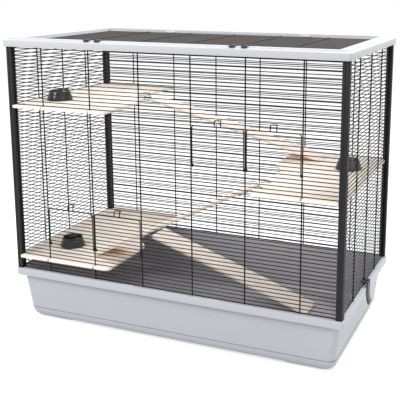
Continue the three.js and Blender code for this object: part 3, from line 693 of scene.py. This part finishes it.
def makePanel(name, node, half, uprights, place, leaves):
    # drawn along x with its outside towards -y, then put in place
    bm = bmesh.new()
    spec = wireSet
    low, high = rowHeight(0), rowHeight(spec["rows"] + 1)
    for row in range(1, spec["rows"] + 1):
        for x0, x1 in barStretches(row, half, leaves):
            straightWire(bm, (x0, 0, rowHeight(row)), (x1, 0, rowHeight(row)), spec["bar"])
    corners = [(-half, 0, low), (-half, 0, high), (half, 0, high), (half, 0, low)]
    for start, end in zip(corners, corners[1:] + corners[:1]):
        straightWire(bm, start, end, spec["edge"], spec["thickSides"])
    heights = low - spec["overrun"], high + spec["overrun"]
    for x in uprights:
        start, end = [(x, -spec["weld"], z) for z in heights]
        straightWire(bm, start, end, spec["upright"], spec["thickSides"])
    bmesh.ops.transform(bm, matrix=Matrix.Scale(mm, 4) @ place, verts=bm.verts)
    newPiece(name, bm, [finishes["wireBlack"]], node)


def makePanels():
    spec = wireSet
    leaves = list(doorSet["leaves"].values())
    rows = [
        ("frontWires", "wire_panel_front", "long", (0, -spec["longAt"]), 0, leaves),
        ("backWires", "wire_panel_back", "long", (0, spec["longAt"]), 180, ()),
        ("leftWires", "wire_panel_left", "short", (-spec["shortAt"], 0), 270, ()),
        ("rightWires", "wire_panel_right", "short", (spec["shortAt"], 0), 90, ()),
    ]
    for name, node, kind, (x, y), turn, gaps in rows:
        place = Matrix.Translation((x, y, 0)) @ Matrix.Rotation(math.radians(turn), 4, "Z")
        makePanel(name, node, spec[kind + "Half"], spec[kind + "Uprights"], place, gaps)


makePanels()
print("wire panels made")


# doors

def doorEye(x):
    # the side wire's curl round the hinge bar, from its free end up to the straight
    spec = doorSet
    steps = spec["eyeSteps"]
    points = []
    for i in range(steps + 1):
        angle = math.radians(180 + spec["eyeTurn"] * (steps - i) / steps)
        points.append((x, spec["offset"] * math.cos(angle), spec["offset"] * math.sin(angle)))
    return points


def makeDoor(node, centre, row):
    spec = doorSet
    bm = bmesh.new()
    side, front, height = spec["side"], -spec["offset"], spec["rows"] * wireSet["pitch"]
    hoop = [(-side, front, 0), (-side, front, height), (side, front, height), (side, front, 0)]
    path = doorEye(-side)[:-1] + roundPath(hoop, spec["cornerRadius"]) + doorEye(side)[::-1][1:]
    bentWire(bm, path, spec["wire"], spec["sides"])
    for i in range(1, spec["rows"]):
        z = i * wireSet["pitch"]
        straightWire(bm, (-side, front, z), (side, front, z), spec["bar"])
    half, back = spec["catchWidth"] / 2, front + spec["catchReach"]
    rise = height + wireSet["pitch"] * spec["catchRise"]
    loop = [(-half, front, height), (-half, front, rise), (-half, back, rise),
            (half, back, rise), (half, front, rise), (half, front, height)]
    bentWire(bm, roundPath(loop, spec["catchBend"]), spec["wire"], spec["sides"])
    place = Matrix.Translation((centre, -wireSet["longAt"], rowHeight(row)))
    bmesh.ops.transform(bm, matrix=Matrix.Scale(mm, 4) @ place, verts=bm.verts)
    bmesh.ops.recalc_face_normals(bm, faces=bm.faces)
    newPiece(camelName("leaf", node.removeprefix("door_")), bm, [finishes["wireBlack"]], node)


def makeDoors():
    for node, (centre, row) in doorSet["leaves"].items():
        makeDoor(node, centre, row)


makeDoors()
print("doors made")


# top frame

frameSet = {"softEdge": 0.6, "leastTurn": 32, "sharpAngle": 36}


def makeTopFrame():
    bm = cadCopy("top_frame")
    softenEdges(bm, frameSet["softEdge"], frameSet["leastTurn"])
    newPiece("topRails", bm, [finishes["framePale"]], "top_frame", frameSet["sharpAngle"])


makeTopFrame()
print("top frame made")


# wire roof

roofSet = {
    "halfX": 456.5, "halfY": 231.5, "z": 825.6, "edge": 2.0, "bar": 1.2, "cross": 1.5,
    "bars": 43, "crossX": [(i - 2) * 153 for i in range(5)], "crossUp": 2.4, "crossShort": 1,
    "thickSides": 10, "cornerRings": 6,
}


def makeRoof():
    spec = roofSet
    bm = bmesh.new()
    x, y, z = spec["halfX"], spec["halfY"], spec["z"]
    corners = [(-x, -y, z), (x, -y, z), (x, y, z), (-x, y, z), (-x, -y, z)]
    for start, end in zip(corners, corners[1:]):
        straightWire(bm, start, end, spec["edge"], spec["thickSides"])
    for cornerX, cornerY, _ in corners[:4]:
        # the bend of the edge wire
        bmesh.ops.create_uvsphere(bm, u_segments=spec["thickSides"],
                                  v_segments=spec["cornerRings"], radius=spec["edge"],
                                  matrix=Matrix.Translation((cornerX, cornerY, z)))
    pitch = 2 * y / (spec["bars"] + 1)
    for i in range(spec["bars"]):
        at = (i - (spec["bars"] - 1) / 2) * pitch
        straightWire(bm, (-x, at, z), (x, at, z), spec["bar"])
    up = z + spec["crossUp"]
    for at in spec["crossX"]:
        straightWire(bm, (at, -y, up), (at, y - spec["crossShort"], up), spec["cross"],
                     spec["thickSides"])
    bmesh.ops.scale(bm, vec=(mm, mm, mm), verts=bm.verts)
    newPiece("roofWires", bm, [finishes["roofBlackLit"]], "roof_grille")


makeRoof()
print("roof made")


# clips

clipSet = {"softEdge": 0.35}


def makeClips():
    for node in ("roof_clip_left", "roof_clip_right", "tray_clip_left", "tray_clip_right"):
        bm = cadCopy(node)
        softenEdges(bm, clipSet["softEdge"])
        kind, words = node.split("_clip_")
        newPiece(kind + "Clip" + words.capitalize(), bm, [finishes["clipBlack"]], node)


makeClips()
print("clips made")


# shelves and ramps

# turns lay the grain along the board, offsets cut each board from another stretch of wood, and a
# patch is (centre, half size) in metres
boardSet = {
    "softEdge": 0.8,
    "boards": {
        "shelf_upper": {"turnZ": 0.0, "turnY": 0.0, "offset": (0.3, 0.1, 0.7)},
        "shelf_middle": {"turnZ": 0.0, "turnY": 0.0, "offset": (1.3, 0.6, 0.2),
                         "patch": ((0.247, 0.157, 0.467), (0.06, 0.05, 0.02))},
        "shelf_lower": {"turnZ": 0.0, "turnY": 0.0, "offset": (2.1, 0.4, 0.5),
                        "patch": ((-0.238, -0.127, 0.201), (0.055, 0.04, 0.02))},
        "ramp_upper": {"turnZ": -11.6, "turnY": -17.9, "offset": (0.2, 0.9, 0.4)},
        "ramp_middle": {"turnZ": 2.9, "turnY": 27.6, "offset": (1.7, 0.2, 0.8)},
        "ramp_lower": {"turnZ": 0.0, "turnY": -18.8, "offset": (0.8, 1.4, 0.1)},
    },
}


def makeBoards():
    for node, look in boardSet["boards"].items():
        bm = cadCopy(node)
        softenEdges(bm, boardSet["softEdge"])
        newPiece(camelName("board", node), bm, [boardMaterial(camelName("wood", node), look)], node)


makeBoards()
print("boards made")


# ramp hooks

hookSet = {"flatAngle": 0.1, "sharpAngle": 65, "nodes": ("upper", "middle", "lower")}


def makeHooks():
    for words in hookSet["nodes"]:
        node = "ramp_hook_" + words
        bm = cadCopy(node, hookSet["flatAngle"])
        newPiece(camelName("hook", words), bm, [finishes["hookSteel"]], node, hookSet["sharpAngle"])


makeHooks()
print("hooks made")


# bowls

# the profile is (radius, height) rows, from under the middle out to the foot and over into the cup
bowlSet = {
    "places": {"bowl_upper": (-411, -132), "bowl_middle": (414, 84), "bowl_lower": (-384, -136)},
    "profile": [(0, 2), (34, 2), (34, 0), (37, 0), (38, 1.5), (29.5, 27.5), (28, 29), (26.5, 28),
                (23.5, 12), (19.5, 8), (0, 8)],
    "soft": 0.8, "softSteps": 2, "steps": 48, "weldReach": 1e-3, "sharpAngle": 40,
}


def makeBowls():
    for node, (x, y) in bowlSet["places"].items():
        low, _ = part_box(node)
        bm = bmesh.new()
        outline = roundPath([(radius, 0, z) for radius, z in bowlSet["profile"]], bowlSet["soft"],
                            bowlSet["softSteps"])
        verts = [bmesh.ops.create_vert(bm, co=point)["vert"][0] for point in outline]
        edges = [bm.edges.new(pair) for pair in zip(verts, verts[1:])]
        bmesh.ops.spin(bm, geom=verts + edges, cent=(0, 0, 0), axis=(0, 0, 1), angle=math.tau,
                       steps=bowlSet["steps"], use_merge=True)
        bmesh.ops.remove_doubles(bm, verts=bm.verts, dist=bowlSet["weldReach"])
        bmesh.ops.recalc_face_normals(bm, faces=bm.faces)
        place = Matrix.Translation((x * mm, y * mm, low.z)) @ Matrix.Scale(mm, 4)
        bmesh.ops.transform(bm, matrix=place, verts=bm.verts)
        newPiece(camelName("dish", node.removeprefix("bowl_")), bm, [finishes["bowlBlack"]], node,
                 bowlSet["sharpAngle"])


makeBowls()
print("bowls made")


# floor, light and background

# metres and watts; every lamp points at the aim
studioSet = {
    "floorSize": 14.0,
    "floorColour": (190, 190, 190),
    "floorRoughness": 0.9,
    "floorSpecular": 0.1,
    "aim": (0, 0, 0.4),
    "floorGlow": 0.62,
    "worldLevel": 0.8,
    "lamps": [
        {"name": "keyLamp", "place": (-1.6, -2.8, 2.6), "size": 2.2, "power": 74},
        {"name": "fillLamp", "place": (2.8, -1.6, 2.2), "size": 2.4, "power": 17},
        {"name": "topLamp", "place": (0.8, 1.2, 3.2), "size": 2.0, "power": 86},
    ],
}


def seenPlainly(tree):
    # 1 for what the camera, a reflection or a view through glass sees, 0 for light on the object
    rays = tree.nodes.new("ShaderNodeLightPath").outputs
    both = mathNode(tree, "MAXIMUM", rays["Is Camera Ray"], rays["Is Glossy Ray"])
    return mathNode(tree, "MAXIMUM", both, rays["Is Transmission Ray"])


def makeWorld():
    world = bpy.data.worlds.new("studioWorld")
    world.use_nodes = True
    tree = world.node_tree
    background = tree.nodes["Background"]
    background.inputs["Color"].default_value = (1, 1, 1, 1)
    level = studioSet["worldLevel"]
    tree.links.new(mathNode(tree, "MULTIPLY_ADD", seenPlainly(tree), 1 - level, level),
                   background.inputs["Strength"])
    scene.world = world


def makeFloor():
    bm = bmesh.new()
    bmesh.ops.create_grid(bm, x_segments=2, y_segments=2, size=studioSet["floorSize"] / 2)
    mesh = bpy.data.meshes.new("studioFloor")
    bm.to_mesh(mesh)
    bm.free()
    floor = bpy.data.objects.new("studioFloor", mesh)
    scene.collection.objects.link(floor)
    material, tree, shader = startMaterial("floorWhite")
    shader.inputs["Base Color"].default_value = shade(*studioSet["floorColour"])
    shader.inputs["Roughness"].default_value = studioSet["floorRoughness"]
    shader.inputs["Specular IOR Level"].default_value = studioSet["floorSpecular"]
    shader.inputs["Emission Color"].default_value = (1, 1, 1, 1)
    tree.links.new(mathNode(tree, "MULTIPLY", seenPlainly(tree), studioSet["floorGlow"]),
                   shader.inputs["Emission Strength"])
    mesh.materials.append(material)


def makeLamps():
    for spec in studioSet["lamps"]:
        lamp = bpy.data.lights.new(spec["name"], "AREA")
        lamp.shape = "DISK"
        lamp.size = spec["size"]
        lamp.energy = spec["power"]
        holder = bpy.data.objects.new(spec["name"], lamp)
        scene.collection.objects.link(holder)
        holder.location = spec["place"]
        heading = Vector(studioSet["aim"]) - Vector(spec["place"])
        holder.rotation_euler = heading.to_track_quat("-Z", "Y").to_euler()


makeWorld()
makeFloor()
makeLamps()
scene.view_settings.view_transform = "Standard"
print("studio made")
